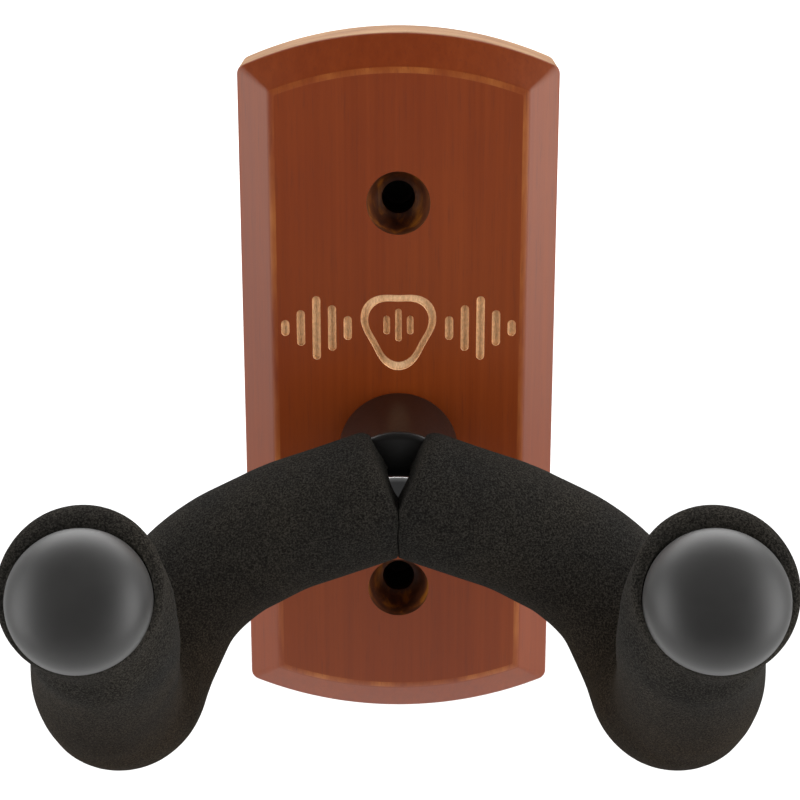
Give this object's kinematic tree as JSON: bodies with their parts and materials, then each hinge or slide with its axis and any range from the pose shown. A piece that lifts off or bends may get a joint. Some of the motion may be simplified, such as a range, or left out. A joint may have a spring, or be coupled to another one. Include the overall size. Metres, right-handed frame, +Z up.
{
  "type": "wall guitar hanger",
  "caption": "Wall-mounted instrument hanger: a bevelled wood block carrying a swivelling padded yoke, two upturned arms that cradle a neck below its head.",
  "frame": {"origin": "centre of the wood block's flat back face, which lies on the wall", "axes": "+Y points into the wall, +Z is up, +X is to the right when facing the wall; the yoke stands out along -Y"},
  "size_m": [0.126, 0.1233, 0.1396],
  "materials": {
    "stained_wood": "satin",
    "nylon": "satin",
    "black_metal": "satin",
    "plated_steel": "satin",
    "nut_nylon": "satin",
    "polished_rod": "polished",
    "foam": "matte",
    "cap_rubber": "satin"
  },
  "bodies": {
    "base": {"wall_block": "stained_wood", "pivot_bush": "nylon", "thrust_washer": "nylon"},
    "yoke": {"hub": "black_metal", "pivot_post": "plated_steel", "steel_washer": "plated_steel", "lock_nut": "plated_steel", "nut_ring": "nut_nylon", "yoke_rod": "polished_rod", "foam_left": "foam", "foam_right": "foam", "cap_left": "cap_rubber", "cap_right": "cap_rubber"}
  },
  "joints": [
    {"name": "yoke_swivel", "type": "hinge", "parent": "base", "child": "yoke", "pos_m": [0, -0.018, -0.0115], "axis": [0, -1, 0], "continuous": true}
  ]
}
